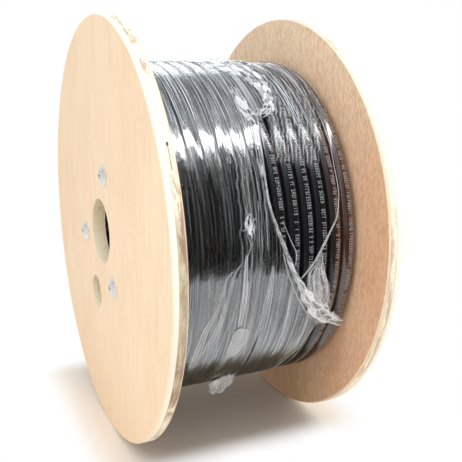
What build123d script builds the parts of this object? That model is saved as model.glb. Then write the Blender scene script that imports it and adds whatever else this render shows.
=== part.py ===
from build123d import *

import math
import os

# Wooden cable drum: two plywood flanges bolted through a fibre barrel, wound full of round
# cable and wrapped in clear stretch film. Millimetres, +Z up. The drum lies on its flange rims
# with its axis along X. The origin is on that axis, midway between the flanges' outer faces.

# Driving dimensions, with the flange diameter as the scale of all the others
flange_diameter = 320.0
flange_thickness = 10.0
overall_width = 160.0
rim_chamfer = 1.0

arbor_diameter = 50.0
drive_hole_diameter = 27.0
drive_hole_offset = 59.0
drive_hole_angle = -68.5

barrel_diameter = 160.0
barrel_wall = 5.0
barrel_seat_depth = 3.0
barrel_seat_clearance = 0.1

cable_diameter = 10.5
turn_count = 13
layer_count = 5
ridge_root = 0.5

bolt_circle_diameter = 96.0
bolt_count = 3
first_bolt_angle = -11.0
bolt_diameter = 6.0
bolt_hole_diameter = 6.6
head_diameter = 16.0
head_height = 3.6
head_lip = 0.6
recess_span = 5.0
recess_slot = 1.2
recess_depth = 2.2
thread_end_length = 3.0
washer_diameter = 18.0
washer_hole_diameter = 6.4
washer_thickness = 1.6
nut_across_flats = 10.0
nut_thickness = 5.0
nut_corner_chamfer = 0.6

film_thickness = 0.4
film_clearance = 0.1

# Values that follow from the driving dimensions
outer_face_x = overall_width / 2
inner_face_x = outer_face_x - flange_thickness
inner_width = 2 * inner_face_x
barrel_radius = barrel_diameter / 2
turn_pitch = inner_width / turn_count
cable_radius = cable_diameter / 2
# Each layer lies in the grooves of the one below it
layer_pitch = math.sqrt(cable_diameter**2 - (turn_pitch / 2) ** 2)
outer_layer_radius = barrel_radius + cable_radius + (layer_count - 1) * layer_pitch
winding_radius = outer_layer_radius + cable_radius
bolt_length = overall_width + washer_thickness + nut_thickness + thread_end_length
head_radius = head_diameter / 2
dome_height = head_height - head_lip
dome_radius = (head_radius**2 + dome_height**2) / (2 * dome_height)

os.makedirs("parts", exist_ok=True)


def save(part, node):
    part.label = node
    export_step(part, f"parts/{node}.step")


# Left flange: a plywood disc with the arbor bore, the drive hole and the bolt holes, and a
# groove in its inner face that seats the barrel
left_outer_face = Plane(origin=(-outer_face_x, 0, 0), x_dir=(0, 1, 0), z_dir=(1, 0, 0))
drive_hole_y = drive_hole_offset * math.cos(math.radians(drive_hole_angle))
drive_hole_z = drive_hole_offset * math.sin(math.radians(drive_hole_angle))

with BuildPart() as flange_left:
    with BuildSketch(left_outer_face):
        Circle(flange_diameter / 2)
        Circle(arbor_diameter / 2, mode=Mode.SUBTRACT)
        with Locations((drive_hole_y, drive_hole_z)):
            Circle(drive_hole_diameter / 2, mode=Mode.SUBTRACT)
        with PolarLocations(bolt_circle_diameter / 2, bolt_count, start_angle=first_bolt_angle):
            Circle(bolt_hole_diameter / 2, mode=Mode.SUBTRACT)
    extrude(amount=flange_thickness)
    rim_edges = flange_left.edges().filter_by(GeomType.CIRCLE).sort_by(SortBy.RADIUS)[-2:]
    chamfer(rim_edges, length=rim_chamfer)
    with BuildSketch(left_outer_face.offset(flange_thickness)):
        Circle(barrel_radius + barrel_seat_clearance)
        Circle(barrel_radius - barrel_wall - barrel_seat_clearance, mode=Mode.SUBTRACT)
    extrude(amount=-barrel_seat_depth, mode=Mode.SUBTRACT)
save(flange_left.part, "flange_left")

# Right flange: the same disc, turned so that its holes line up with the left one's
with BuildPart() as flange_right:
    add(mirror(flange_left.part, about=Plane.YZ))
save(flange_right.part, "flange_right")

# Barrel: a fibre tube whose ends sit in the flanges' grooves
barrel_length = inner_width + 2 * barrel_seat_depth
with BuildPart() as barrel:
    with BuildSketch(Plane.YZ.offset(-barrel_length / 2)):
        Circle(barrel_radius)
        Circle(barrel_radius - barrel_wall, mode=Mode.SUBTRACT)
    extrude(amount=barrel_length)
save(barrel.part, "barrel")

# Cable: one turned solid. The outer layer's turns stand out as round ridges. Every second layer
# has one turn more and reaches the flanges, so its end turns stand out on the winding's ends
core_half_width = inner_face_x - turn_pitch + cable_radius
core_top = outer_layer_radius + ridge_root * cable_radius
end_turn_x = inner_face_x - turn_pitch / 2
with BuildPart() as cable_winding:
    with BuildSketch(Plane.XY):
        with Locations((0, (barrel_radius + core_top) / 2)):
            Rectangle(2 * core_half_width, core_top - barrel_radius)
        with Locations((0, outer_layer_radius)):
            with GridLocations(turn_pitch, 1, turn_count, 1):
                Circle(cable_radius)
        for layer in range(0, layer_count - 1, 2):
            layer_radius = barrel_radius + cable_radius + layer * layer_pitch
            with Locations((end_turn_x, layer_radius), (-end_turn_x, layer_radius)):
                Circle(cable_radius)
    revolve(axis=Axis.X, revolution_arc=360)
save(cable_winding.part, "cable_winding")

# Stretch film: a thin clear skin pulled tight over the outer turns
film_inner_radius = winding_radius + film_clearance
with BuildPart() as wrap_film:
    with BuildSketch(Plane.YZ.offset(-inner_face_x + film_clearance)):
        Circle(film_inner_radius + film_thickness)
        Circle(film_inner_radius, mode=Mode.SUBTRACT)
    extrude(amount=inner_width - 2 * film_clearance)
save(wrap_film.part, "wrap_film")


def make_bolt(centre_y, centre_z):
    """Domed head with a cross recess on the left flange, and a shank through both flanges."""
    head_seat = (-outer_face_x, centre_y, centre_z)
    outward = Plane(origin=head_seat, x_dir=(0, 1, 0), z_dir=(0, 0, 1))
    shank_start = Plane(origin=head_seat, x_dir=(0, 1, 0), z_dir=(1, 0, 0))
    with BuildPart() as bolt:
        with BuildSketch(outward):
            with BuildLine():
                Polyline((0, head_height), (0, 0), (head_radius, 0), (head_radius, head_lip))
                RadiusArc((head_radius, head_lip), (0, head_height), -dome_radius)
            make_face()
        revolve(axis=Axis(head_seat, (1, 0, 0)), revolution_arc=360)
        with BuildSketch(shank_start):
            Circle(bolt_diameter / 2)
        extrude(amount=bolt_length)
        with BuildSketch(shank_start.offset(-head_height)):
            Rectangle(recess_span, recess_slot)
            Rectangle(recess_slot, recess_span)
        extrude(amount=recess_depth, mode=Mode.SUBTRACT)
    return bolt.part


def make_washer(centre_y, centre_z):
    """Flat ring between the right flange and the nut."""
    seat = Plane(origin=(outer_face_x, centre_y, centre_z), x_dir=(0, 1, 0), z_dir=(1, 0, 0))
    with BuildPart() as washer:
        with BuildSketch(seat):
            Circle(washer_diameter / 2)
            Circle(washer_hole_diameter / 2, mode=Mode.SUBTRACT)
        extrude(amount=washer_thickness)
    return washer.part


def make_nut(centre_y, centre_z):
    """Hexagon nut on the washer, its corners chamfered on the outer side."""
    seat = Plane(
        origin=(outer_face_x + washer_thickness, centre_y, centre_z), x_dir=(0, 1, 0), z_dir=(1, 0, 0)
    )
    with BuildPart() as nut:
        with BuildSketch(seat):
            RegularPolygon(nut_across_flats / 2, 6, major_radius=False)
            Circle(bolt_diameter / 2, mode=Mode.SUBTRACT)
        extrude(amount=nut_thickness)
        hexagon_edges = nut.faces().sort_by(Axis.X)[-1].outer_wire().edges()
        chamfer(hexagon_edges, length=nut_corner_chamfer)
    return nut.part


# Three bolts hold the flanges to the barrel, evenly spaced round the arbor bore
for number in range(bolt_count):
    bolt_angle = math.radians(first_bolt_angle + number * 360 / bolt_count)
    bolt_y = bolt_circle_diameter / 2 * math.cos(bolt_angle)
    bolt_z = bolt_circle_diameter / 2 * math.sin(bolt_angle)
    save(make_bolt(bolt_y, bolt_z), f"bolt_{number + 1}")
    save(make_washer(bolt_y, bolt_z), f"washer_{number + 1}")
    save(make_nut(bolt_y, bolt_z), f"nut_{number + 1}")
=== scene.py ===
import math

import bpy
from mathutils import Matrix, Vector
from mathutils import noise as hills


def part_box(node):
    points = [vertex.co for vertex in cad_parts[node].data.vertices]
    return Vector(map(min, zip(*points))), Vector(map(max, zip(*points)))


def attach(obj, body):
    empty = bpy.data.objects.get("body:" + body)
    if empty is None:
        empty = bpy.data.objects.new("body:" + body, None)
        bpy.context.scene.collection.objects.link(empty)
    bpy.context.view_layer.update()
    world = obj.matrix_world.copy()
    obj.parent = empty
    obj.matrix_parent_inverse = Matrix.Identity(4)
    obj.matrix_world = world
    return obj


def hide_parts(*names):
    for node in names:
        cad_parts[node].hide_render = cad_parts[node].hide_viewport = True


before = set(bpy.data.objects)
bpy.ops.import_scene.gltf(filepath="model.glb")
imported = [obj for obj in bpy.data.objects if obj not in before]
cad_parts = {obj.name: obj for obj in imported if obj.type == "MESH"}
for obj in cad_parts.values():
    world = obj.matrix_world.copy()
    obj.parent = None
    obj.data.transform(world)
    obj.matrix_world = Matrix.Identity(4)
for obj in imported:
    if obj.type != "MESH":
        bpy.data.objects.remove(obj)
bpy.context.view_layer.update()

bpy.ops.object.select_all(action="DESELECT")

# Camera. It stands a little left of the drum and about half a metre in front, held level and
# pointed slightly down, so that the bolt-head flange shows its outer face and the nut flange
# its inner one.
camera_place = (-0.2074, -0.5142, 0.1244)
camera_heading = math.radians(24.78)
camera_dip = math.radians(13.44)
bpy.ops.object.camera_add(
    location=camera_place, rotation=(math.pi / 2 - camera_dip, 0, -camera_heading)
)
camera = bpy.context.object
camera.name = "camera"
camera.data.sensor_width = 36
camera.data.lens = 54.3
camera.data.clip_start = 0.01
bpy.context.scene.camera = camera
bpy.ops.object.select_all(action="DESELECT")


# Flanges. Two plywood discs sawn from five-ply board. The face veneers have fine upright
# grain, and the rim and the walls of the holes show the plies, with dirt and bruises rubbed
# into the middle ones where the drum has been rolled.
flange_low, flange_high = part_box("flange_left")
flange_radius = flange_high.y
outer_face_x = -flange_low.x
inner_face_x = -flange_high.x
board = outer_face_x - inner_face_x


def new_material(name):
    """A material with only a Principled shader, and its node tree and that shader."""
    material = bpy.data.materials.new(name)
    material.use_nodes = True
    return material, material.node_tree, material.node_tree.nodes["Principled BSDF"]


def feed(tree, socket, value):
    """Links a socket to another, or sets its plain value."""
    if isinstance(value, bpy.types.NodeSocket):
        tree.links.new(value, socket)
    else:
        socket.default_value = value


def calc(tree, operation, *values, clamp=False):
    """A Math node's result, from sockets or numbers."""
    node = tree.nodes.new("ShaderNodeMath")
    node.operation = operation
    node.use_clamp = clamp
    for socket, value in zip(node.inputs, values):
        feed(tree, socket, value)
    return node.outputs["Value"]


def fade(tree, value, start, end, low=0.0, high=1.0):
    """Smoothly from low, where value is at start, to high, where it is at end."""
    node = tree.nodes.new("ShaderNodeMapRange")
    node.interpolation_type = "SMOOTHSTEP"
    feed(tree, node.inputs["Value"], value)
    for name, number in (("From Min", start), ("From Max", end), ("To Min", low), ("To Max", high)):
        feed(tree, node.inputs[name], number)
    return node.outputs["Result"]


def near(tree, value, centre, reach, soft):
    """1 where value is within reach of centre, and 0 from soft beyond that."""
    return fade(tree, calc(tree, "ABSOLUTE", calc(tree, "SUBTRACT", value, centre)), reach + soft, reach)


def blend_colours(tree, factor, first, second, how="MIX"):
    """Two colours mixed by a factor."""
    node = tree.nodes.new("ShaderNodeMix")
    node.data_type = "RGBA"
    node.blend_type = how
    feed(tree, node.inputs["Factor"], factor)
    feed(tree, node.inputs["A"], first)
    feed(tree, node.inputs["B"], second)
    return node.outputs[2]


def stretched(tree, vector, scale, location=(0, 0, 0)):
    """The vector scaled along each axis, so that a pattern on it is drawn out."""
    node = tree.nodes.new("ShaderNodeMapping")
    feed(tree, node.inputs["Vector"], vector)
    node.inputs["Scale"].default_value = scale
    node.inputs["Location"].default_value = location
    return node.outputs["Vector"]


def noise(tree, vector, scale, detail=2.0, roughness=0.5, distortion=0.0):
    """Plain noise, from 0 to 1."""
    node = tree.nodes.new("ShaderNodeTexNoise")
    feed(tree, node.inputs["Vector"], vector)
    for name, number in (("Scale", scale), ("Detail", detail), ("Roughness", roughness), ("Distortion", distortion)):
        node.inputs[name].default_value = number
    return node.outputs["Fac"]


def bump(tree, height, distance, strength=1.0):
    """A normal bent by a height that is given in units of distance, in metres."""
    node = tree.nodes.new("ShaderNodeBump")
    node.inputs["Distance"].default_value = distance
    node.inputs["Strength"].default_value = strength
    feed(tree, node.inputs["Height"], height)
    return node.outputs["Normal"]


def object_place(tree):
    """Object coordinates, and their three parts."""
    place = tree.nodes.new("ShaderNodeTexCoord").outputs["Object"]
    parts = tree.nodes.new("ShaderNodeSeparateXYZ")
    tree.links.new(place, parts.inputs["Vector"])
    return place, parts.outputs["X"], parts.outputs["Y"], parts.outputs["Z"]


def round_angle(tree, y, z):
    """The angle round the drum's axis in radians: 0 faces the front, a quarter turn is the top."""
    return calc(tree, "ARCTAN2", z, calc(tree, "MULTIPLY", y, -1.0))


def rolled_flat(tree, x, angle, radius):
    """Coordinates on a cylinder's surface rolled out flat, in metres."""
    node = tree.nodes.new("ShaderNodeCombineXYZ")
    feed(tree, node.inputs["X"], x)
    feed(tree, node.inputs["Y"], calc(tree, "MULTIPLY", angle, radius))
    return node.outputs["Vector"]


def plywood(name, outer_veneer, inner_veneer_and_shade):
    """Plywood whose outer and inner faces have these colours."""
    material, tree, shader = new_material(name)
    place, x, y, z = object_place(tree)
    depth = calc(tree, "SUBTRACT", outer_face_x, calc(tree, "ABSOLUTE", x))
    depth_share = calc(tree, "DIVIDE", depth, board)
    angle = round_angle(tree, y, z)
    left = fade(tree, x, 0.0001, -0.0001)

    # Face veneer: slow changes of tone, streaks of grain and short dark pores, with painted light higher up and
    # painted shade lower down
    tone = noise(tree, stretched(tree, place, (30, 22, 7)), 1.0, 3)
    streaks = noise(tree, stretched(tree, place, (200, 420, 18)), 1.0, 4, 0.6)
    pores = noise(tree, stretched(tree, place, (900, 1500, 190)), 1.0, 2, 0.6)
    veneer = blend_colours(tree, fade(tree, depth_share, 0.4, 0.6), outer_veneer, inner_veneer_and_shade)
    # Higher up the inner faces turn towards the pale outer veneer: painted light, for the tops of the flanges that
    # lie nearer the softbox and out of the winding's shade
    veneer = blend_colours(tree, fade(tree, z, 0.03, 0.15, 0.0, 0.85), veneer, outer_veneer)
    veneer = blend_colours(tree, fade(tree, tone, 0.35, 0.7, 0.0, 0.35), veneer, (0.97, 0.83, 0.60, 1))
    warm = noise(tree, stretched(tree, place, (26, 24, 13), (0.7, 0.3, 0.2)), 1.0, 2, 0.5)
    veneer = blend_colours(tree, fade(tree, warm, 0.42, 0.66, 0.0, 0.30), veneer, (0.93, 0.66, 0.43, 1))
    # Lower down the veneer turns warmer and darker: painted shade
    veneer = blend_colours(tree, fade(tree, z, -0.06, -0.15, 0.0, 0.35), veneer, (0.93, 0.66, 0.43, 1))
    streak_depth = fade(tree, depth_share, 0.4, 0.6, 0.22, 0.17)
    veneer = blend_colours(
        tree, fade(tree, streaks, 0.42, 0.75, 0.0, streak_depth), veneer, (0.66, 0.37, 0.20, 1)
    )
    mottle = noise(tree, stretched(tree, place, (620, 600, 240)), 1.0, 3, 0.6)
    mottle_depth = fade(tree, depth_share, 0.4, 0.6, 0.08, 0.34)
    veneer = blend_colours(tree, fade(tree, mottle, 0.40, 0.64, 0.0, mottle_depth), veneer, (0.46, 0.24, 0.14, 1))
    # Low on the inner faces the veneer has an olive stain
    stain = noise(tree, stretched(tree, place, (30, 26, 16), (0.4, 0.1, 0)), 1.0, 3, 0.6)
    stain = calc(tree, "MULTIPLY", fade(tree, stain, 0.45, 0.65, 0.0, 0.35), fade(tree, z, -0.06, -0.11))
    stain = calc(tree, "MULTIPLY", stain, fade(tree, depth_share, 0.4, 0.6))
    veneer = blend_colours(tree, stain, veneer, (0.50, 0.42, 0.16, 1))
    pore_mask = fade(tree, pores, 0.60, 0.74)
    veneer = blend_colours(
        tree, calc(tree, "MULTIPLY", pore_mask, 0.28), veneer, (0.45, 0.25, 0.13, 1)
    )

    # Edge: the plies, their glue lines, and bruises in the middle ones
    plies = tree.nodes.new("ShaderNodeValToRGB")
    feed(tree, plies.inputs["Fac"], depth_share)
    stops = (
        (0.0, (0.99, 0.94, 0.80, 1)), (0.36, (0.98, 0.92, 0.79, 1)), (0.40, (0.70, 0.55, 0.36, 1)),
        (0.44, (0.93, 0.84, 0.66, 1)), (0.62, (0.96, 0.88, 0.70, 1)), (0.82, (0.90, 0.80, 0.61, 1)),
        (0.86, (0.70, 0.55, 0.38, 1)), (0.90, (0.98, 0.92, 0.78, 1)), (1.0, (0.98, 0.92, 0.79, 1)),
    )
    for place_in_ramp, colour in stops[1:-1]:
        plies.color_ramp.elements.new(place_in_ramp)
    for element, (place_in_ramp, colour) in zip(plies.color_ramp.elements, stops):
        element.position = place_in_ramp
        element.color = colour
    rim_place = rolled_flat(tree, x, angle, flange_radius)
    bruise = noise(tree, stretched(tree, rim_place, (260, 55, 1)), 1.0, 4, 0.65)
    bruise_span = fade(tree, noise(tree, stretched(tree, rim_place, (20, 14, 1)), 1.0, 1), 0.46, 0.60)
    # Where the left rim is worst: low at the front, a little above the middle, and at the top
    for middle_angle, reach in ((8.0, 6.0), (-26.0, 9.0), (54.0, 5.0)):
        worst = near(tree, angle, math.radians(middle_angle), math.radians(reach), math.radians(5))
        bruise_span = calc(tree, "MAXIMUM", bruise_span, calc(tree, "MULTIPLY", worst, left))
    middle = calc(
        tree, "MULTIPLY", fade(tree, depth_share, 0.34, 0.44), fade(tree, depth_share, 0.98, 0.86)
    )
    grime = calc(tree, "MULTIPLY", near(tree, angle, math.radians(-8), math.radians(20), math.radians(6)), left)
    grime = calc(tree, "MULTIPLY", calc(tree, "MULTIPLY", grime, middle), fade(tree, bruise, 0.3, 0.6, 0.55, 0.95))
    edge = blend_colours(tree, grime, plies.outputs["Color"], (0.44, 0.35, 0.23, 1))
    bruise_mask = calc(tree, "MULTIPLY", fade(tree, bruise, 0.44, 0.58), middle)
    bruise_mask = calc(tree, "MULTIPLY", bruise_mask, bruise_span)
    edge = blend_colours(
        tree, calc(tree, "MULTIPLY", bruise_mask, fade(tree, left, 0.0, 1.0, 0.5, 0.75)), edge, (0.34, 0.21, 0.12, 1)
    )
    flecks = noise(tree, stretched(tree, rim_place, (900, 500, 1)), 1.0, 2, 0.5)
    fleck_mask = calc(tree, "MULTIPLY", fade(tree, flecks, 0.62, 0.72, 0.0, 0.55), middle)
    edge = blend_colours(tree, fleck_mask, edge, (0.16, 0.10, 0.06, 1))
    # A short split in the left rim, opening to a knot hole at its upper end
    split_x = -0.0739
    split = calc(
        tree, "MULTIPLY", near(tree, x, split_x, 0.0002, 0.0003),
        near(tree, angle, math.radians(27.6), math.radians(2.6), math.radians(0.8)),
    )
    knot_hole = calc(
        tree, "MULTIPLY", near(tree, x, split_x, 0.0005, 0.0005),
        near(tree, angle, math.radians(30.2), math.radians(0.3), math.radians(0.3)),
    )
    split = calc(tree, "MULTIPLY", calc(tree, "MAXIMUM", calc(tree, "MULTIPLY", split, 0.7), knot_hole), left)
    edge = blend_colours(tree, split, edge, (0.07, 0.04, 0.025, 1))

    # The walls of the holes are browner
    from_axis = calc(
        tree, "SQRT", calc(tree, "ADD", calc(tree, "POWER", y, 2.0), calc(tree, "POWER", z, 2.0))
    )
    edge = blend_colours(tree, fade(tree, from_axis, 0.10, 0.08, 0.0, 0.65), edge, (0.99, 0.85, 0.58, 1))

    # The edge shows where the surface doesn't face along the axis
    geometry = tree.nodes.new("ShaderNodeNewGeometry")
    facing = tree.nodes.new("ShaderNodeSeparateXYZ")
    tree.links.new(geometry.outputs["Normal"], facing.inputs["Vector"])
    edge_mask = fade(tree, calc(tree, "ABSOLUTE", facing.outputs["X"]), 0.8, 0.6)
    feed(tree, shader.inputs["Base Color"], blend_colours(tree, edge_mask, veneer, edge))
    feed(tree, shader.inputs["Roughness"], fade(tree, streaks, 0.2, 0.8, 0.55, 0.75))
    height = calc(tree, "SUBTRACT", streaks, calc(tree, "MULTIPLY", pore_mask, 0.6))
    feed(tree, shader.inputs["Normal"], bump(tree, height, 0.0002, 0.6))
    return material


pale_veneer = (0.975, 0.78, 0.56, 1)
# The inner faces' tan is partly the wood's own tone and partly painted shade, for the inner faces that lie in the
# winding's shade
tan_veneer_and_shade = (0.86, 0.50, 0.30, 1)
board_material = plywood("plywood", pale_veneer, tan_veneer_and_shade)
for node_name in ("flange_left", "flange_right"):
    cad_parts[node_name].data.materials.clear()
    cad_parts[node_name].data.materials.append(board_material)


# Barrel. A spiral-wound fibre tube, seen only through the holes in the flanges. Its dark brown is made darker still
# as painted shade, for the dim inside of the tube.
fibre, fibre_tree, fibre_shader = new_material("fibre_tube")
fibre_place, fibre_x, fibre_y, fibre_z = object_place(fibre_tree)
fibre_fleck = noise(fibre_tree, fibre_place, 400, 3)
feed(
    fibre_tree, fibre_shader.inputs["Base Color"],
    blend_colours(fibre_tree, fibre_fleck, (0.05, 0.035, 0.025, 1), (0.10, 0.075, 0.05, 1)),
)
feed(fibre_tree, fibre_shader.inputs["Roughness"], fade(fibre_tree, fibre_fleck, 0.2, 0.8, 0.7, 0.9))
feed(fibre_tree, fibre_shader.inputs["Normal"], bump(fibre_tree, fibre_fleck, 0.0002, 0.5))
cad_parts["barrel"].data.materials.clear()
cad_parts["barrel"].data.materials.append(fibre)


# Bolts, washers and nuts. Cold-formed steel with a bright zinc plate, a little cloudy and
# scuffed. The bolts' domed heads are on the left flange.
zinc, zinc_tree, zinc_shader = new_material("zinc_steel")
zinc_place, zinc_x, zinc_y, zinc_z = object_place(zinc_tree)
cloud = noise(zinc_tree, zinc_place, 350, 3, 0.6)
scuff = noise(zinc_tree, stretched(zinc_tree, zinc_place, (900, 2600, 700)), 1.0, 3, 0.7)
feed(
    zinc_tree, zinc_shader.inputs["Base Color"],
    blend_colours(zinc_tree, fade(zinc_tree, cloud, 0.35, 0.65), (0.88, 0.85, 0.80, 1), (1.0, 0.97, 0.92, 1)),
)
feed(zinc_tree, zinc_shader.inputs["Roughness"], fade(zinc_tree, scuff, 0.3, 0.7, 0.25, 0.45))
feed(zinc_tree, zinc_shader.inputs["Normal"], bump(zinc_tree, scuff, 0.00005, 0.6))
zinc_shader.inputs["Metallic"].default_value = 1.0
for kind in ("bolt", "washer", "nut"):
    for number in (1, 2, 3):
        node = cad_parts[f"{kind}_{number}"]
        node.data.materials.clear()
        node.data.materials.append(zinc)


# Cable, outer layer. One length of round cable laid in thirteen touching turns that start
# hard against the left flange. Each turn runs square to the axis and crosses over to the next
# at the back of the drum, and its end is tucked down beside the right flange.
cable_radius = 0.00525
turn_count = 13
turn_pitch = 0.0106
first_turn_x = -inner_face_x + cable_radius + 0.00005
layer_radius = 0.1213
under_layer_radius = 0.1123
points_per_turn = 24
crossing_start = math.radians(185)
crossing_span = math.radians(55)
crossing_rise = 0.0011
end_tuck = 0.0035


def smooth(share):
    """0 up to share 0, 1 from share 1, and an even slope between."""
    share = min(max(share, 0.0), 1.0)
    return share * share * (3 - 2 * share)


def crossing(angle):
    """How far, from 0 to 1, a turn has crossed to its neighbour at this angle round the drum."""
    past = (angle - crossing_start) % (2 * math.pi)
    return smooth(past / crossing_span)


def crossing_hump(angle):
    """How much the cable rides up there, from 0 to 1."""
    past = (angle - crossing_start) % (2 * math.pi)
    return math.sin(math.pi * past / crossing_span) if past < crossing_span else 0.0


def round_the_drum(x, radius, angle):
    """A point at this angle round the axis: 0 faces the front, a quarter turn is the top."""
    return Vector((x, -radius * math.cos(angle), radius * math.sin(angle)))


cable_data = bpy.data.curves.new("cable_top_layer", "CURVE")
cable_data.dimensions = "3D"
cable_data.twist_mode = "MINIMUM"
cable_data.bevel_depth = cable_radius
cable_data.bevel_resolution = 6
cable_data.resolution_u = 8
cable_data.use_fill_caps = True
cable_line = cable_data.splines.new("NURBS")
cable_steps = turn_count * points_per_turn
cable_line.points.add(cable_steps)
# A cubic spline through a ring of control points runs this much inside them
spline_draw_in = (2 + math.cos(2 * math.pi / points_per_turn)) / 3
for step in range(cable_steps + 1):
    whole, past = divmod(step, points_per_turn)
    turns = step / points_per_turn
    angle = crossing_start + 2 * math.pi * turns
    crossed = smooth(2 * math.pi * past / points_per_turn / crossing_span)
    x = max(first_turn_x + (whole - 1 + crossed) * turn_pitch, first_turn_x)
    wander = 0.00006 * math.sin(2.1 * angle) + 0.00005 * math.sin(0.37 * angle + 1)
    from_an_end = min(turns, turn_count - turns)
    tucked = end_tuck * (1 - smooth(from_an_end / 0.12))
    radius = layer_radius + crossing_rise * crossing_hump(angle) + wander - tucked
    place = round_the_drum(x, radius / spline_draw_in, angle)
    cable_line.points[step].co = (*place, 1)
cable_line.order_u = 4
cable_line.use_endpoint_u = True
cable = bpy.data.objects.new("cable_top_layer", cable_data)
bpy.context.collection.objects.link(cable)
bpy.context.view_layer.objects.active = cable
cable.select_set(True)
bpy.ops.object.convert(target="MESH")
cable = bpy.context.object
bpy.ops.object.shade_smooth()
bpy.ops.object.select_all(action="DESELECT")


def print_mask(tree):
    """Seven-stroke digits in a row along the cable's own UV map: 1 on their strokes."""
    surface = tree.nodes.new("ShaderNodeSeparateXYZ")
    tree.links.new(tree.nodes.new("ShaderNodeTexCoord").outputs["UV"], surface.inputs["Vector"])
    along, around = surface.outputs["X"], surface.outputs["Y"]
    layer_length = turn_count * 2 * math.pi * layer_radius
    digit_advance, digit_height = 0.0017, 0.0032
    # The cable turns a little about itself as it is wound, so the row drifts round it
    row_start, row_drift = 0.661, -0.1826
    place = calc(tree, "MULTIPLY", along, layer_length / digit_advance)
    cell = calc(tree, "FLOOR", place)
    across = calc(tree, "SUBTRACT", place, cell)
    row = calc(tree, "SUBTRACT", around, calc(tree, "MULTIPLY_ADD", along, row_drift, row_start))
    up = calc(tree, "DIVIDE", row, digit_height / (2 * math.pi * cable_radius))

    def chance(seed):
        random_value = tree.nodes.new("ShaderNodeTexWhiteNoise")
        random_value.noise_dimensions = "1D"
        feed(tree, random_value.inputs["W"], calc(tree, "ADD", cell, seed))
        return random_value.outputs["Value"]

    def within(value, low, high):
        return calc(tree, "COMPARE", value, (low + high) / 2, (high - low) / 2)

    digit = calc(tree, "FLOOR", calc(tree, "MULTIPLY", chance(0.5), 9.999))
    # Each stroke's box in the digit's cell, and the digits that leave it out
    strokes = (
        ((0.1, 0.7), (0.86, 1.0), (1, 4)), ((0.1, 0.7), (0.43, 0.57), (0, 1, 7)),
        ((0.1, 0.7), (0.0, 0.14), (1, 4, 7)), ((0.1, 0.27), (0.5, 1.0), (1, 2, 3, 7)),
        ((0.1, 0.27), (0.0, 0.5), (1, 3, 4, 5, 7, 9)), ((0.53, 0.7), (0.5, 1.0), (5, 6)),
        ((0.53, 0.7), (0.0, 0.5), (2,)),
    )
    printed = 0.0
    for sides, ends, left_out in strokes:
        stroke = calc(tree, "MULTIPLY", within(across, *sides), within(up, *ends))
        for number in left_out:
            absent = calc(tree, "COMPARE", digit, number, 0.1)
            stroke = calc(tree, "MULTIPLY", stroke, calc(tree, "SUBTRACT", 1.0, absent))
        printed = calc(tree, "MAXIMUM", printed, stroke)
    spaces = calc(tree, "GREATER_THAN", chance(7.5), 0.2)
    later_turns = calc(tree, "GREATER_THAN", along, 6.6 / turn_count)
    worn = noise(tree, stretched(tree, surface.inputs["Vector"].links[0].from_socket, (9000, 60, 1)), 1.0, 1)
    printed = calc(tree, "MULTIPLY", calc(tree, "MULTIPLY", printed, spaces), later_turns)
    return calc(tree, "MULTIPLY", printed, fade(tree, worn, 0.3, 0.6, 0.25, 1.0))


jacket, jacket_tree, jacket_shader = new_material("cable_jacket")
jacket_place, jacket_x, jacket_y, jacket_z = object_place(jacket_tree)
jacket_grain = noise(jacket_tree, jacket_place, 900, 3)
jacket_colour = blend_colours(jacket_tree, jacket_grain, (0.005, 0.005, 0.006, 1), (0.012, 0.012, 0.014, 1))
# The turns shine where film clings to them: over the top, low down, and most of all on the last
# two, beside the right flange, whose brown is a painted reflection of the tan flange
jacket_angle = round_angle(jacket_tree, jacket_y, jacket_z)
bare = near(jacket_tree, jacket_angle, math.radians(3), math.radians(17), math.radians(12))
beside_flange = fade(jacket_tree, jacket_x, 0.045, 0.057)
# Painted reflection: the last two turns are tinted brown, as the flange beside them mirrors in them
jacket_colour = blend_colours(jacket_tree, beside_flange, jacket_colour, (0.055, 0.024, 0.012, 1))
feed(
    jacket_tree, jacket_shader.inputs["Base Color"],
    blend_colours(jacket_tree, print_mask(jacket_tree), jacket_colour, (0.36, 0.39, 0.44, 1)),
)
jacket_shader.inputs["IOR"].default_value = 1.36
last_shine = calc(
    jacket_tree, "MULTIPLY", beside_flange,
    fade(jacket_tree, jacket_angle, math.radians(-8), math.radians(-28), 1.0, 0.7),
)
shine = calc(jacket_tree, "MAXIMUM", fade(jacket_tree, bare, 0.0, 1.0, 0.55, 0.05), last_shine)
feed(jacket_tree, jacket_shader.inputs["Coat Weight"], shine)
jacket_shader.inputs["Coat IOR"].default_value = 2.0
jacket_shader.inputs["Coat Roughness"].default_value = 0.14
feed(
    jacket_tree, jacket_shader.inputs["Roughness"],
    calc(jacket_tree, "MULTIPLY_ADD", bare, 0.08, fade(jacket_tree, jacket_grain, 0.2, 0.8, 0.16, 0.26)),
)
cable.data.materials.append(jacket)
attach(cable, "root")
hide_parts("cable_winding")

# Cable, inner layers. Twelve turns of the fourth layer lie under the grooves of the outer one
# on the turns below them, which are one plain ring here because nothing shows of them.
under_turns = []
for number in range(turn_count - 1):
    bpy.ops.mesh.primitive_torus_add(
        location=(first_turn_x + (number + 0.5) * turn_pitch, 0, 0),
        rotation=(0, math.pi / 2, 0),
        major_segments=96, minor_segments=14,
        major_radius=under_layer_radius, minor_radius=cable_radius,
    )
    under_turns.append(bpy.context.object)
barrel_low, barrel_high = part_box("barrel")
bpy.ops.mesh.primitive_cylinder_add(
    vertices=96, radius=under_layer_radius, depth=2 * inner_face_x - 0.008,
    end_fill_type="NOTHING", rotation=(0, math.pi / 2, 0),
)
inner_ring = bpy.context.object
wall = inner_ring.modifiers.new("wall", "SOLIDIFY")
wall.thickness = under_layer_radius - barrel_high.y - 0.0002
wall.offset = -1
bpy.ops.object.modifier_apply(modifier="wall")
for piece in under_turns:
    piece.select_set(True)
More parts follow.
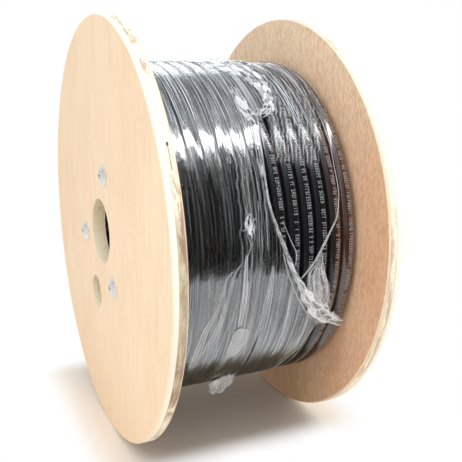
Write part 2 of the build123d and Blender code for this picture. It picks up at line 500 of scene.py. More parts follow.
inner_ring.select_set(True)
bpy.context.view_layer.objects.active = inner_ring
bpy.ops.object.join()
inner_ring.name = "cable_inner_layers"
bpy.ops.object.transform_apply(location=True, rotation=True, scale=True)
bpy.ops.object.shade_smooth_by_angle(angle=math.radians(40))
bpy.ops.object.select_all(action="DESELECT")
# Without a UV map they have no print
inner_ring.data.uv_layers.remove(inner_ring.data.uv_layers[0])
inner_ring.data.materials.append(jacket)
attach(inner_ring, "root")
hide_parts("cable_winding")


# Stretch film, main wrap. A clear sheet as wide as the drum's inside, wound tight over the
# outer turns. It bridges the grooves, sags a little into them, and follows the cable where
# the turns cross over. At the front its right edge is torn back from the last turns.
film_wall = 0.0003
film_gap = 0.00016
film_radius = layer_radius + cable_radius + film_gap
film_columns = 118
film_rows = 280
film_left_x = -inner_face_x + 0.00015
# The right edge, as (angle round the drum in degrees, x in mm)
film_right_edge = (
    (-180, 69.8), (-140, 69.8), (-110, 50), (-80, 38), (-60, 33), (-48, 34), (-39, 38), (-31, 41),
    (-25, 44.5), (-22, 45),
    (-18, 38), (-11, 27), (-5, 19), (0, 13.5), (6, 9), (12, 4.5), (18, 1.5), (25, 1.2), (33, 3.8),
    (40, 5.5), (45, 9), (48.5, 16), (52, 22), (58, 24.5), (66, 28), (74, 34), (90, 38), (110, 45),
    (140, 60), (160, 69.8), (180, 69.8),
)


def film_edge_x(angle):
    """Where the film's right edge is at this angle, in metres."""
    degrees = math.degrees(angle)
    for (start, start_x), (end, end_x) in zip(film_right_edge, film_right_edge[1:]):
        if degrees <= end:
            return (start_x + (end_x - start_x) * (degrees - start) / (end - start)) / 1000
    return film_right_edge[-1][1] / 1000


def groove_share(x, angle):
    """0 over the crown of a turn and 1 over the groove between two."""
    turns = (x - first_turn_x) / turn_pitch - crossing(angle)
    turns = min(max(turns, 0.0), turn_count - 1.0)
    across = abs(turns - round(turns)) * 2
    return 0.5 - 0.5 * math.cos(math.pi * across)


def film_lift(x, angle):
    """How far the film stands outside its tight cylinder, in metres."""
    degrees = math.degrees(angle)
    upper = smooth((degrees - 2) / 26) + smooth((-60 - degrees) / 30)
    looseness = 0.5 + 0.5 * math.sin(3 * angle + 40 * x)
    sag = 0.0002 + (0.0003 + 0.0002 * looseness) * upper
    return crossing_rise * crossing_hump(angle) - sag * groove_share(x, angle)


def wind_film(name, clearance, thickness, hem):
    """One closed turn of film, this far outside the main wrap's inner side and short of its edge."""
    bpy.ops.mesh.primitive_grid_add(x_subdivisions=film_columns, y_subdivisions=film_rows, size=1)
    turn = bpy.context.object
    turn.name = name
    for vertex in turn.data.vertices:
        angle = vertex.co.y * 2 * math.pi
        width = film_edge_x(angle) - film_left_x - 2 * hem
        x = film_left_x + hem + (vertex.co.x + 0.5) * width
        vertex.co = round_the_drum(x, film_radius + clearance + film_lift(x, angle), angle)
    bpy.ops.object.mode_set(mode="EDIT")
    bpy.ops.mesh.select_all(action="SELECT")
    bpy.ops.mesh.remove_doubles(threshold=0.00003)
    bpy.ops.mesh.normals_make_consistent(inside=False)
    bpy.ops.object.mode_set(mode="OBJECT")
    wall = turn.modifiers.new("wall", "SOLIDIFY")
    wall.thickness = thickness
    wall.offset = 1
    bpy.ops.object.modifier_apply(modifier="wall")
    bpy.ops.object.shade_smooth_by_angle(angle=math.radians(60))
    bpy.ops.object.select_all(action="DESELECT")
    return turn


film = wind_film("film_wrap", 0.0, film_wall, 0.0)
clear_film, film_tree, film_shader = new_material("stretch_film")
film_place, film_x, film_y, film_z = object_place(film_tree)
film_shader.inputs["Base Color"].default_value = (0.97, 0.98, 0.98, 1)
film_shader.inputs["Transmission Weight"].default_value = 1.0
film_shader.inputs["IOR"].default_value = 2.5
film_angle = round_angle(film_tree, film_y, film_z)
film_flat = rolled_flat(film_tree, film_x, film_angle, film_radius)
# Wrinkles run round the drum, broad ones and hair-fine ones
wrinkle = noise(film_tree, stretched(film_tree, film_flat, (560, 8, 1)), 1.0, 4, 0.7, 0.5)
# It leans a little this way and that over each turn of cable
lean = noise(film_tree, stretched(film_tree, film_flat, (110, 16, 1)), 1.0, 1)
film_height = calc(film_tree, "MULTIPLY_ADD", lean, 5.0, wrinkle)
feed(film_tree, film_shader.inputs["Roughness"], fade(film_tree, wrinkle, 0.3, 0.8, 0.03, 0.12))
feed(film_tree, film_shader.inputs["Normal"], bump(film_tree, film_height, 0.0006, 0.45))
film.data.materials.append(clear_film)
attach(film, "root")
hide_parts("wrap_film")


# Stretch film, outer turn. The last turn of film, which shows as streaks along its creases: pale ones
# that are painted highlights where they catch the light, and dark ones between them that are painted shade. It has a
# slit low at the front.
outer_turn = wind_film("film_outer_turn", film_wall + 0.00003, 0.00004, 0.0006)
creased_film, creased_tree, creased_shader = new_material("stretch_film_creased")
creased_place, creased_x, creased_y, creased_z = object_place(creased_tree)
creased_angle = round_angle(creased_tree, creased_y, creased_z)
creased_flat = rolled_flat(creased_tree, creased_x, creased_angle, film_radius)
hairs = noise(creased_tree, stretched(creased_tree, creased_flat, (1200, 11, 1)), 1.0, 2, 0.6, 0.3)
bands = noise(creased_tree, stretched(creased_tree, creased_flat, (170, 9, 1)), 1.0, 2)
# Few creases show where the film reflects the dark, and underneath
dark_belt = near(creased_tree, creased_angle, math.radians(20), math.radians(21), math.radians(5))
belt_loss = fade(creased_tree, creased_x, -0.026, -0.016, 0.50, 0.41)
crease_cover = calc(creased_tree, "SUBTRACT", 0.55, calc(creased_tree, "MULTIPLY", dark_belt, belt_loss))
crease_cover = calc(
    creased_tree, "MULTIPLY", crease_cover,
    fade(creased_tree, creased_angle, math.radians(-44), math.radians(-37), 0.10, 1.0),
)
crease_cover = calc(
    creased_tree, "MULTIPLY", crease_cover,
    fade(creased_tree, creased_angle, math.radians(74), math.radians(92), 1.0, 0.35),
)
crease_cover = calc(creased_tree, "MULTIPLY", crease_cover, fade(creased_tree, bands, 0.35, 0.65, 0.4, 1.0))
creases = calc(
    creased_tree, "MAXIMUM",
    fade(
        creased_tree, hairs, 0.53, 0.66, 0.0,
        fade(creased_tree, creased_angle, math.radians(-8), math.radians(12), 0.7, 1.0),
    ),
    fade(
        creased_tree, hairs, 0.47, 0.34, 0.0,
        fade(creased_tree, creased_angle, 0.0, math.radians(20), 0.3, 0.75),
    ),
)
# Over the upper front the film dips into the grooves between the turns, and dark lines are painted there as their
# shade
turn_share = calc(
    creased_tree, "FRACT",
    calc(creased_tree, "DIVIDE", calc(creased_tree, "SUBTRACT", creased_x, first_turn_x), turn_pitch),
)
groove_wander = fade(
    creased_tree, noise(creased_tree, stretched(creased_tree, creased_flat, (60, 30, 1)), 1.0, 1),
    0.3, 0.7, 0.42, 0.58,
)
groove_shade_line = fade(
    creased_tree, calc(creased_tree, "ABSOLUTE", calc(creased_tree, "SUBTRACT", turn_share, groove_wander)),
    0.13, 0.03,
)
groove_shade_line = calc(
    creased_tree, "MULTIPLY", groove_shade_line,
    near(creased_tree, creased_angle, math.radians(64), math.radians(30), math.radians(7)),
)
groove_shade_line = calc(creased_tree, "MULTIPLY", groove_shade_line, fade(creased_tree, bands, 0.3, 0.6, 0.25, 0.8))
# The slit is a narrow lens whose lower end bends to the right
slit_share = calc(
    creased_tree, "DIVIDE", calc(creased_tree, "ADD", creased_angle, math.radians(38)), math.radians(12),
)
slit_width = calc(
    creased_tree, "MAXIMUM",
    calc(creased_tree, "MULTIPLY_ADD", calc(creased_tree, "POWER", slit_share, 2.0), -0.0011, 0.0011), 0.0,
)
slit_x = fade(creased_tree, creased_angle, math.radians(-38), math.radians(-48), -0.0021, -0.0006)
slit = fade(
    creased_tree, calc(creased_tree, "ABSOLUTE", calc(creased_tree, "SUBTRACT", creased_x, slit_x)),
    slit_width, calc(creased_tree, "MULTIPLY", slit_width, 0.6),
)
slit = calc(creased_tree, "MULTIPLY", slit, calc(creased_tree, "GREATER_THAN", slit_width, 0.00002))
# Pale hairs are painted highlights and dark hairs painted shade, on the creases' lit and shaded sides
crease_highlight_and_shade = blend_colours(
    creased_tree, fade(creased_tree, hairs, 0.46, 0.54), (0.02, 0.022, 0.027, 1), (0.86, 0.93, 1.0, 1)
)
crease_highlight_and_shade = blend_colours(creased_tree, groove_shade_line, crease_highlight_and_shade, (0.02, 0.022, 0.027, 1))
feed(
    creased_tree, creased_shader.inputs["Base Color"],
    blend_colours(creased_tree, slit, crease_highlight_and_shade, (0.004, 0.004, 0.005, 1)),
)
feed(
    creased_tree, creased_shader.inputs["Alpha"],
    calc(
        creased_tree, "MAXIMUM", calc(creased_tree, "MULTIPLY", creases, crease_cover),
        calc(creased_tree, "MAXIMUM", groove_shade_line, slit),
    ),
)
feed(creased_tree, creased_shader.inputs["Roughness"], fade(creased_tree, hairs, 0.3, 0.7, 0.25, 0.4))
outer_turn.data.materials.append(creased_film)
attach(outer_turn, "root")
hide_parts("wrap_film")


# Stretch film, loose parts. Where the film is torn back it is drawn together into a flat rope
# and thin strings. Elsewhere it has a knot, crinkles, folds that run slantwise round the drum,
# a blister and a torn flap underneath. All of it clings to the wrap or to the cable.
cloudy_film, cloudy_tree, cloudy_shader = new_material("stretch_film_folds")
cloudy_place, cloudy_x, cloudy_y, cloudy_z = object_place(cloudy_tree)
cloudiness_and_glint = cloudy_tree.nodes.new("ShaderNodeAttribute")
cloudiness_and_glint.attribute_name = "cloudiness_and_glint"
cloudy_grain = noise(cloudy_tree, cloudy_place, 1300, 3, 0.6)
# The folds' blue tint is painted: it stands in for the cool room that they mirror, against the warm light from the
# wood
feed(
    cloudy_tree, cloudy_shader.inputs["Base Color"],
    blend_colours(cloudy_tree, cloudy_grain, (0.84, 0.90, 0.96, 1), (0.95, 0.98, 1.0, 1)),
)
feed(
    cloudy_tree, cloudy_shader.inputs["Alpha"],
    calc(cloudy_tree, "MULTIPLY", cloudiness_and_glint.outputs["Fac"], fade(cloudy_tree, cloudy_grain, 0.3, 0.65, 0.55, 1.0)),
)
feed(cloudy_tree, cloudy_shader.inputs["Roughness"], fade(cloudy_tree, cloudy_grain, 0.3, 0.7, 0.12, 0.35))
cloudy_shader.inputs["IOR"].default_value = 2.0
film_parts = []


def follow(stations, share):
    """Smoothly from the first station to the last, as share goes from 0 to 1."""
    place = min(max(share, 0.0), 1.0) * (len(stations) - 1)
    start = min(int(place), len(stations) - 2)
    t = place - start
    a, b, c, d = (Vector(stations[min(max(start + step, 0), len(stations) - 1)]) for step in (-1, 0, 1, 2))
    return 0.5 * (2 * b + (c - a) * t + (2 * a - 5 * b + 4 * c - d) * t**2 + (3 * b - a - 3 * c + d) * t**3)


def crumpled(spot):
    """From 0 to 1: a crumpled sheet's height, how sharply it is creased, and how pale its facet is painted as a
    highlight.
    """
    distances, centres = hills.voronoi(spot)
    crease = max(0.0, 1 - 6 * (distances[1] - distances[0]))
    broken = min(max(0.5 + 1.8 * hills.noise(spot * 0.8), 0.0), 1.0)
    shine = min(max(4.0 * hills.noise(centres[0] * 2.7) - 0.5, 0.0), 1.0)
    return min(distances[0], 1.0), crease * broken, shine


def loose_film(name, stations, pleats=1, fold_rise=0.0003, crumple_rise=0.0, crumple_size=0.004,
               haze=0.1, crest=0.7, cell=0.0008, raggedness=0.25, material=cloudy_film):
    """A strip of film laid along stations of (x in mm, angle in degrees, width in mm, lift in mm).
    It is folded lengthwise into pleats and crumpled, and is cloudy along its folds, with some crumpled facets
    painted pale as highlights."""
    seed = 3.1 * (len(film_parts) + 1)
    run = [Vector((x, math.radians(degrees) * film_radius * 1000)) for x, degrees, width, lift in stations]
    length = sum((end - start).length for start, end in zip(run, run[1:])) / 1000
    widest = max(width for x, degrees, width, lift in stations) / 1000
    rows = max(8, round(length / cell))
    columns = max(6 * pleats, round(widest / cell))
    bpy.ops.mesh.primitive_grid_add(x_subdivisions=columns, y_subdivisions=rows, size=1)
    strip = bpy.context.object
    strip.name = name
    cloud = strip.data.attributes.new("cloudiness_and_glint", "FLOAT", "POINT")
    for vertex in strip.data.vertices:
        across, share = vertex.co.x, vertex.co.y + 0.5
        x, degrees, width, lift = follow(stations, share)
        ahead = follow(stations, share + 0.02) - follow(stations, share - 0.02)
        heading = Vector((ahead[0], math.radians(ahead[1]) * film_radius * 1000)).normalized()
        ragged = 1 + raggedness * hills.noise(Vector((share * length * 150, math.copysign(2, across), seed)))
        shift = across * width * ragged / 1000
        x = x / 1000 - heading.y * shift
        angle = math.radians(degrees) + heading.x * shift / film_radius
        spot = Vector((shift, share * length / 2.2, seed * crumple_size)) / crumple_size
        crumple, crease, shine = crumpled(spot) if crumple_rise else (0.0, 0.0, 0.0)
        waver = 0.5 * hills.noise(Vector((share * length * 60, 5, seed)))
        pleat = (across + 0.5) * pleats + 0.3 * waver
        fold = 1 - abs(pleat % 1 * 2 - 1)
        bright = 0.8 + 1.1 * hills.noise(Vector((math.floor(pleat) * 3.7, share * length * 110, seed)))
        hem = smooth((0.5 - abs(across)) * 5) * smooth(min(share, 1 - share) * 14)
        rise = film_wall + 0.0001 + lift / 1000 + hem * (fold_rise * fold + crumple_rise * crumple)
        vertex.co = round_the_drum(x, film_radius + film_lift(x, angle) + rise, angle)
        edge = smooth((0.5 - abs(across)) * 12) * smooth(min(share, 1 - share) * 12)
        # Besides the folds' cloudiness, some crumpled facets are painted pale: a painted highlight
        folds = max(fold**4 * min(max(bright, 0.1), 1.0), crease, shine)
        cloud.data[vertex.index].value = min(1.0, edge * (haze + crest * folds))
    wall = strip.modifiers.new("wall", "SOLIDIFY")
    wall.thickness = 0.00005
    wall.offset = 1
    bpy.ops.object.modifier_apply(modifier="wall")
    bpy.ops.object.shade_smooth_by_angle(angle=math.radians(35))
    bpy.ops.object.select_all(action="DESELECT")
    strip.data.materials.append(material)
    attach(strip, "root")
    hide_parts("wrap_film")
    film_parts.append(strip)


# The rope along the torn edge, its crumpled lower end, and the bright string on its left side
rope = (
    (9, 43, 0.9, 0), (4.8, 38, 1.0, 0), (2.2, 30, 1.0, 0), (0.5, 22, 1.1, 0), (1.4, 15.5, 1.5, 0.1),
    (5.5, 8.8, 2.2, 0.2), (10.5, 2.8, 3.0, 0.3), (16.5, -3.6, 3.8, 0.3), (24, -9.6, 5.0, 0.4),
    (33, -15.6, 8.0, 0.5), (42.5, -20.8, 10.5, 0.6), (51, -23.6, 10, 0.8), (58, -25, 6.0, 1.2),
    (64, -26, 3.0, 1.5),
)
loose_film("film_rope", rope, pleats=3, fold_rise=0.0010, crumple_rise=0.0006, haze=0.16, crest=0.75)
loose_film("film_rope_end", (
    (16.5, -3.6, 2.5, 0.5), (24, -9.6, 5.5, 0.7), (32, -14.6, 9.5, 1.0), (39, -18.2, 12.5, 1.2),
    (46, -21.2, 14, 1.5), (53, -23.4, 12, 1.6), (59, -24.8, 8.5, 1.8), (65, -26.2, 4.5, 2.0),
), pleats=2, fold_rise=0.0010, crumple_rise=0.0030, crumple_size=0.0048, haze=0.08, crest=1.0,
    cell=0.0006, raggedness=0.6)
loose_film("film_rope_edge", (
    (20, -5.8, 0.7, 1.0), (28, -10.8, 1.0, 1.3), (36, -14.8, 1.2, 1.6), (44, -18.4, 1.2, 1.9),
    (53, -21.4, 1.4, 2.0), (60, -23.6, 1.2, 2.2), (65.5, -26, 1.0, 2.2),
), pleats=2, haze=0.4, crest=0.6, raggedness=0.6)
loose_film("film_lower_edge", (
    (46, -23.5, 1.0, 0.1), (43.5, -27, 1.1, 0.1), (40.6, -31.5, 1.2, 0.1), (37.8, -39, 1.2, 0.1),
    (33.8, -48, 1.2, 0.1), (33, -58, 1.0, 0.1),
), pleats=2, haze=0.15, crest=0.6)
loose_film("film_rope_string", (
    (8.5, 2.5, 0.7, 0.6), (11, -2, 0.8, 0.7), (14.5, -6.5, 0.8, 0.7), (22, -13.2, 0.9, 0.7),
    (31, -19, 0.9, 0.7), (39, -23.2, 0.9, 0.6), (47, -26.6, 0.8, 0.3),
), haze=0.3)

# Strings of film across the bare turns, and the web between two of them and the rope
loose_film("film_string_long", (
    (56.5, 50, 0.8, 0), (57, 43, 0.8, 0), (56.8, 35, 0.8, 0), (55.4, 27, 0.8, 0), (55.2, 20, 0.9, 0.1),
    (54, 15.5, 1.0, 0.1), (51, 10.5, 1.2, 0.2), (45.4, 6.4, 1.5, 0.3), (40, 2.6, 2.0, 0.4),
    (33.4, -2.2, 1.8, 0.4), (26.2, -6, 1.4, 0.4), (22, -8, 1.0, 0.4),
), pleats=2, haze=0.25, crest=0.6)
loose_film("film_string_short", (
    (9.5, 11.5, 0.7, 0.2), (11.4, 9.1, 0.7, 0.2), (15.3, 4.9, 0.8, 0.2), (18.6, 1.6, 0.9, 0.3),
    (19.2, -0.8, 0.8, 0.3), (17.2, -3.6, 0.7, 0.3),
), haze=0.2, crest=0.6)
loose_film("film_string_low", (
    (38.5, 1.2, 0.8, 0.3), (39.4, -1.6, 0.9, 0.3), (41.2, -5, 1.0, 0.3), (45.2, -10.2, 1.1, 0.3),
    (47.5, -14.7, 1.1, 0.4), (51.5, -18.5, 1.0, 0.5),
), haze=0.3, crest=0.6)
web = (
    (38.5, 0.5, 1, 0.2), (36.8, -3, 6, 0.2), (35.5, -7, 14, 0.2), (38.5, -12, 18, 0.3), (42, -16.5, 15, 0.3),
    (46, -20, 9, 0.4),
)
loose_film("film_web", web, pleats=2, fold_rise=0.0004, material=clear_film)
loose_film("film_web_crinkles", web, pleats=4, fold_rise=0.0004, crumple_rise=0.0004,
           crumple_size=0.004, haze=0.10, crest=0.45)

# A knot of twisted film, and the strings drawn out of it
loose_film("film_knot", (
    (-13.6, 14.6, 1.5, 0), (-14, 13, 5, 0.3), (-14.3, 11, 8, 0.6), (-14.4, 9.4, 6.5, 0.5), (-14.5, 8.2, 3.5, 0.2),
    (-14.3, 7.0, 1.5, 0),
), pleats=3, crumple_rise=0.0020, crumple_size=0.0027, haze=0.0, crest=0.85, cell=0.0004, raggedness=0.9)
loose_film("film_knot_twist_1", (
    (-20.4, 9.6, 0.5, 0.2), (-17.6, 9.9, 1.5, 0.8), (-14.6, 11, 2.2, 1.1), (-12, 12.4, 1.4, 0.9), (-9.4, 12.9, 0.5, 0.3),
), pleats=2, fold_rise=0.0006, haze=0.12, crest=0.9, cell=0.0005, raggedness=0.8)
loose_film("film_knot_string_1", (
    (-16.8, 8.6, 0.8, 0.2), (-15.2, 6.8, 0.8, 0), (-14.3, 5.2, 0.8, 0), (-15.8, 3, 0.8, 0), (-18.1, 0.4, 0.6, 0),
), haze=0.2, crest=0.5)
loose_film("film_knot_string_2", (
    (-6.6, 18, 0.6, 0), (-7, 14.6, 0.8, 0), (-8, 9, 0.8, 0), (-8.7, 3.5, 0.6, 0),
), haze=0.12, crest=0.4)

# Creased film that clings to the bare turns over the top, and the torn edge's hem behind
loose_film("film_cling", (
    (52, 118, 16, 0), (50, 100, 28, 0), (48.5, 82, 36, 0), (48, 66, 38, 0), (48, 54, 36, 0), (47, 44, 26, 0),
    (46, 37, 12, 0),
), pleats=3, raggedness=0.05, material=creased_film)
loose_film("film_cling_creases", (
    (52, 118, 16, 0), (50, 100, 28, 0), (48.5, 82, 36, 0), (46, 66, 40, 0), (42, 54, 42, 0), (37, 46, 42, 0),
    (33, 39, 40, 0), (29, 33, 38, 0), (26, 27, 36, 0),
), pleats=13, fold_rise=0.0002, haze=0.02, crest=0.36, cell=0.0010, raggedness=0.1)
loose_film("film_hem_top", (
    (31, 70, 1, 0), (34, 76, 1.6, 0), (38, 90, 1.8, 0), (45, 110, 1.8, 0), (60, 140, 1.6, 0), (69, 158, 1, 0),
), pleats=3, fold_rise=0.0004, haze=0.2, crest=0.6)
loose_film("film_hem_under", (
    (33, -56, 1, 0), (38, -80, 1.6, 0), (50, -110, 1.8, 0), (60, -126, 1.6, 0), (69, -139, 1, 0),
), pleats=3, fold_rise=0.0004, haze=0.2, crest=0.6)

# Crinkles where the film is drawn up over the top
loose_film("film_crinkle_top", (
    (4, 96, 30, 0), (8, 88, 40, 0.2), (14, 80, 44, 0.3), (20, 73, 36, 0.3), (23, 66, 24, 0.3),
    (24, 60, 14, 0.2), (23.5, 55, 9, 0.2), (22, 51, 9, 0.2), (19, 48.4, 9, 0.1), (13, 46.4, 8, 0), (8, 44.5, 4, 0),
), pleats=4, fold_rise=0.0005, crumple_rise=0.0018, crumple_size=0.0030, haze=0.02, crest=0.75, cell=0.0005)
loose_film("film_crinkle_left", (
    (2, 60, 6, 0), (1, 54, 9, 0), (1.5, 48, 10, 0.1), (4, 43.5, 9, 0.1), (2, 38, 6, 0), (0, 31, 5, 0),
    (-1, 24, 3, 0),
), pleats=3, fold_rise=0.0004, crumple_rise=0.0012, crumple_size=0.0050, haze=0.0, crest=0.6)
loose_film("film_wrinkles", (
    (-8, 44, 14, 0), (-9, 36, 18, 0), (-10, 26, 20, 0), (-11, 14, 22, 0), (-12, 2, 22, 0), (-13, -6, 20, 0),
), pleats=6, fold_rise=0.0003, haze=0.0, crest=0.18, cell=0.0012)
loose_film("film_crease_top_1", (
    (31, 73, 1.0, 0.4), (24, 69, 1.4, 0.5), (18.5, 64, 1.2, 0.4), (22.6, 62.5, 1.0, 0.4),
), haze=0.3, crest=0.7)
loose_film("film_crease_top_2", (
    (22.6, 62.8, 1.0, 0.4), (24.1, 58.1, 1.4, 0.5), (27.3, 56.7, 1.2, 0.4), (21.2, 52.2, 1.6, 0.4),
    (23.6, 49.3, 1.6, 0.4), (26, 46.5, 0.8, 0.3),
), haze=0.2, crest=0.55)
loose_film("film_crease_top_3", (
    (8, 48.2, 0.8, 0.2), (12, 47.8, 1.1, 0.4), (18, 48.2, 1.2, 0.5), (25, 47.4, 0.9, 0.4),
), haze=0.2, crest=0.5)

# Folds that run slantwise down the front, and the blister between them
loose_film("film_fold_1", (
    (-25, -1.5, 0.8, 0), (-30.7, -3.7, 1.6, 0), (-33.8, -8.2, 2.4, 0), (-36.2, -14, 3.2, 0), (-40.8, -18.3, 4.2, 0),
    (-44.2, -23.4, 5.5, 0), (-45.8, -31.9, 6.0, 0), (-47, -40, 3.5, 0),
), pleats=3, haze=0.09, crest=1.0)
loose_film("film_fold_2", (
    (-18, 1.5, 0.8, 0), (-25.8, -2.8, 1.6, 0), (-27.7, -6.1, 2.4, 0), (-30.3, -11.7, 3.4, 0), (-32.1, -16.5, 4.2, 0),
    (-35.7, -23, 4.4, 0), (-39.2, -26.9, 4.0, 0), (-42.5, -32.8, 3.4, 0), (-44, -39, 2.0, 0),
), pleats=3, haze=0.09, crest=1.0)
loose_film("film_fold_3", (
    (-23, -7, 0.8, 0), (-23.4, -10.5, 1.4, 0), (-23.8, -15, 1.8, 0), (-28.1, -23.8, 2.6, 0), (-32.5, -33.6, 3.4, 0),
    (-34, -38, 2.0, 0),
), pleats=2, haze=0.03, crest=0.6)
loose_film("film_fold_4", (
    (-17.6, 3, 1.5, 0), (-17.8, -3, 4.0, 0), (-17.6, -10, 5.4, 0), (-18.2, -16, 5.4, 0), (-18.8, -22, 2.0, 0),
), pleats=2, haze=0.24, crest=0.4)
loose_film("film_fold_5", (
    (-15.4, -1, 0.8, 0), (-14.8, -10.1, 1.2, 0), (-15.6, -15.6, 1.2, 0), (-16, -20.9, 0.8, 0),
), pleats=2, haze=0.06, crest=0.8)
loose_film("film_fold_6", (
    (2.2, -1.5, 0.8, 0), (1.6, -4.1, 2.6, 0), (0.6, -8.9, 4.2, 0), (-1.8, -16.8, 3.8, 0), (-3.3, -23.7, 2.6, 0),
    (-4.4, -33.6, 1.8, 0), (-4.6, -45.7, 1.2, 0),
), pleats=3, haze=0.08, crest=0.8)
loose_film("film_fold_7", (
    (7.4, -6, 0.8, 0), (7.1, -8.3, 1.6, 0), (5.9, -15.1, 2.4, 0), (4.9, -23.6, 2.6, 0), (4.2, -34.7, 2.2, 0),
    (3.6, -42, 1.4, 0),
), pleats=3, haze=0.03, crest=0.3)
loose_film("film_blister", (
    (-15.5, -22.4, 6, 0), (-15.8, -23.6, 11, 0.3), (-16.6, -27, 13.5, 0.6), (-17.6, -31, 13, 0.5),
    (-18.6, -34.5, 9, 0.2), (-19.2, -36.5, 4, 0),
), pleats=1, fold_rise=0.0002, haze=0.32, crest=0.05, raggedness=0.1)
loose_film("film_blister_rim", (
    (-23, -26.5, 0.6, 0.3), (-22, -24.2, 0.9, 0.3), (-19.4, -22.6, 1.1, 0.3), (-15.6, -22.4, 1.1, 0.3),
    (-12.2, -24.6, 1.1, 0.3), (-10.6, -28.4, 1.0, 0.3), (-11, -32.4, 0.9, 0.3), (-12.6, -36.5, 0.6, 0.2),
), haze=0.25, crest=0.6)

# The torn flap that hangs under the winding
loose_film("film_flap", (
    (-9.5, -50, 10, 0.2), (-9, -54.5, 14, 0.8), (-8.5, -58.5, 17, 2.6), (-8.5, -61.5, 17, 5.0),
    (-9, -63.5, 15, 7.0), (-9.5, -65, 11, 8.6),
), pleats=2, fold_rise=0.0012, crumple_rise=0.0024, crumple_size=0.009, haze=0.28, crest=0.5,
    cell=0.0007, raggedness=0.7)

# The knot's second twist
loose_film("film_knot_twist_2", (
    (-16.6, 16.8, 0.5, 0.2), (-15.6, 13.6, 1.3, 0.8), (-13.6, 11.2, 2.0, 1.2), (-12.2, 9.2, 1.3, 0.9), (-11.6, 6.4, 0.5, 0.3),
), pleats=2, fold_rise=0.0006, haze=0.12, crest=0.9, cell=0.0005, raggedness=0.8)


# Floor, backdrop and light. A white table under the drum that ends in front of it, a long
# softbox above and in front, and a pale room that is dark only where the table ends.
table_front_y = -0.430
table_size = 12
bpy.ops.mesh.primitive_plane_add(
    size=table_size, location=(0, table_front_y + table_size / 2, flange_low.z)
)
floor = bpy.context.object
floor.name = "floor"
bpy.ops.object.transform_apply(location=True, rotation=False, scale=False)
floor_paint, floor_tree, floor_shader = new_material("floor")
floor_place, floor_x, floor_y, floor_z = object_place(floor_tree)
floor_shader.inputs["Roughness"].default_value = 0.9
floor_glow = floor_tree.nodes.new("ShaderNodeEmission")
# In reflections the table has soft grey marks, so that wrinkles in the film show as streaks
table_marks = noise(floor_tree, stretched(floor_tree, floor_place, (22, 3, 1)), 1.0, 2)
# White to the camera and in reflections, from a little way outside the drum's own shadow: this white is painted
# light, and its soft edge round the drum's footprint paints the shadow's outer edge, which in reflections lies
# further out
beside = calc(floor_tree, "MAXIMUM", calc(floor_tree, "SUBTRACT", calc(floor_tree, "ABSOLUTE", floor_x), 0.083), 0.0)
before = calc(floor_tree, "MAXIMUM", calc(floor_tree, "SUBTRACT", -0.062, floor_y), 0.0)
behind = calc(floor_tree, "MAXIMUM", calc(floor_tree, "SUBTRACT", floor_y, 0.10), 0.0)
beyond = calc(floor_tree, "MAXIMUM", before, behind)
away = calc(floor_tree, "SQRT", calc(floor_tree, "ADD", calc(floor_tree, "POWER", beside, 2.0), calc(floor_tree, "POWER", beyond, 2.0)))
seen_by = floor_tree.nodes.new("ShaderNodeLightPath").outputs
mirrored = calc(floor_tree, "MAXIMUM", seen_by["Is Glossy Ray"], seen_by["Is Transmission Ray"])
# In reflections the floor's paint is darker: painted shade that deepens the drum's shadow where the film mirrors it
feed(
    floor_tree, floor_shader.inputs["Base Color"],
    blend_colours(floor_tree, mirrored, (0.79, 0.72, 0.64, 1), (0.38, 0.34, 0.24, 1)),
)
white_share = calc(
    floor_tree, "MAXIMUM",
    calc(floor_tree, "MULTIPLY", seen_by["Is Camera Ray"], fade(floor_tree, away, 0.0, 0.038)),
    calc(floor_tree, "MULTIPLY", mirrored, fade(floor_tree, away, 0.016, 0.034)),
)
feed(
    floor_tree, floor_glow.inputs["Color"],
    blend_colours(floor_tree, mirrored, (1, 1, 1, 1), (0.93, 0.97, 1.0, 1)),
)
glow_strength = calc(floor_tree, "MAXIMUM", seen_by["Is Camera Ray"], fade(floor_tree, table_marks, 0.40, 0.60, 0.64, 1.04))
feed(floor_tree, floor_glow.inputs["Strength"], glow_strength)
floor_mix = floor_tree.nodes.new("ShaderNodeMixShader")
feed(floor_tree, floor_mix.inputs["Fac"], white_share)
floor_tree.links.new(floor_shader.outputs["BSDF"], floor_mix.inputs[1])
floor_tree.links.new(floor_glow.outputs["Emission"], floor_mix.inputs[2])
floor_tree.links.new(floor_mix.outputs["Shader"], floor_tree.nodes["Material Output"].inputs["Surface"])
floor.data.materials.append(floor_paint)

softbox_distance = 1.0
softbox_lean = math.radians(25.9)
bpy.ops.object.light_add(
    type="AREA",
    location=(0, -softbox_distance * math.sin(softbox_lean), softbox_distance * math.cos(softbox_lean)),
    rotation=(-softbox_lean, 0, 0),
)
softbox = bpy.context.object
softbox.name = "softbox"
softbox.data.shape = "RECTANGLE"
softbox.data.size = 2.0
softbox.data.size_y = 0.215
softbox.data.energy = 13.0

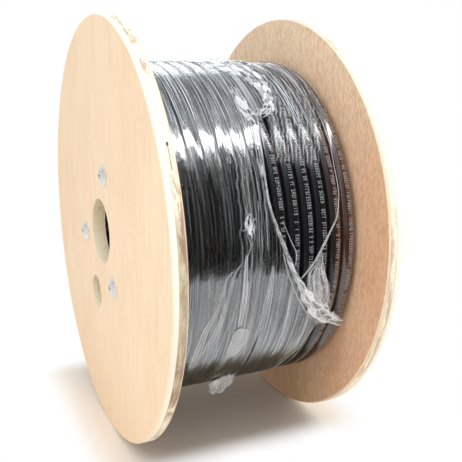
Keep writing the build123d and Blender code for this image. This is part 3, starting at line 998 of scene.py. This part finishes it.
world = bpy.data.worlds.new("room")
bpy.context.scene.world = world
world.use_nodes = True
room = world.node_tree
room_light = room.nodes["Background"]
direction = room.nodes.new("ShaderNodeTexCoord").outputs["Generated"]
dark_way = room.nodes.new("ShaderNodeVectorMath")
dark_way.operation = "DOT_PRODUCT"
room.links.new(direction, dark_way.inputs[0])
dark_way.inputs[1].default_value = Vector((0.42, -0.86, 0.27)).normalized()
room_brightness = 0.93
room_marks = noise(room, stretched(room, direction, (7, 3, 2)), 1.0, 2)
in_reflections = calc(
    room, "MULTIPLY", fade(room, dark_way.outputs["Value"], 0.81, 0.68, 0.012, room_brightness),
    fade(room, room_marks, 0.42, 0.58, 0.5, 1.1),
)
# The room is darker to the left of the table's end too, which the sides of the turns reflect
left_way = room.nodes.new("ShaderNodeVectorMath")
left_way.operation = "DOT_PRODUCT"
room.links.new(direction, left_way.inputs[0])
left_way.inputs[1].default_value = Vector((-0.50, -0.86, 0.05)).normalized()
in_reflections = calc(
    room, "MULTIPLY", in_reflections, fade(room, left_way.outputs["Value"], 0.95, 0.80, 0.3, 1.0)
)
# and below the horizon, which shows only past the table's end
height = room.nodes.new("ShaderNodeSeparateXYZ")
room.links.new(direction, height.inputs["Vector"])
in_reflections = calc(
    room, "MULTIPLY", in_reflections, fade(room, height.outputs["Z"], -0.15, 0.0, 0.04, 1.0)
)
# A bright window behind the drum, high up, glares on the top of the film
glare_way = room.nodes.new("ShaderNodeVectorMath")
glare_way.operation = "DOT_PRODUCT"
room.links.new(direction, glare_way.inputs[0])
glare_way.inputs[1].default_value = Vector((0.20, 0.82, 0.54)).normalized()
in_reflections = calc(room, "ADD", in_reflections, fade(room, glare_way.outputs["Value"], 0.945, 0.985, 0.0, 3.2))
ray = room.nodes.new("ShaderNodeLightPath").outputs
mirrored = calc(room, "MAXIMUM", ray["Is Glossy Ray"], ray["Is Transmission Ray"])
room_mix = room.nodes.new("ShaderNodeMix")
for socket, value in zip(room_mix.inputs, (mirrored, None, room_brightness, in_reflections)):
    if value is not None:
        feed(room, socket, value)
feed(room, room_light.inputs["Strength"], calc(room, "MAXIMUM", room_mix.outputs[0], ray["Is Camera Ray"]))
feed(room, room_light.inputs["Color"], blend_colours(room, mirrored, (1, 1, 1, 1), (0.91, 0.96, 1.0, 1)))
bpy.context.scene.view_settings.view_transform = "Standard"
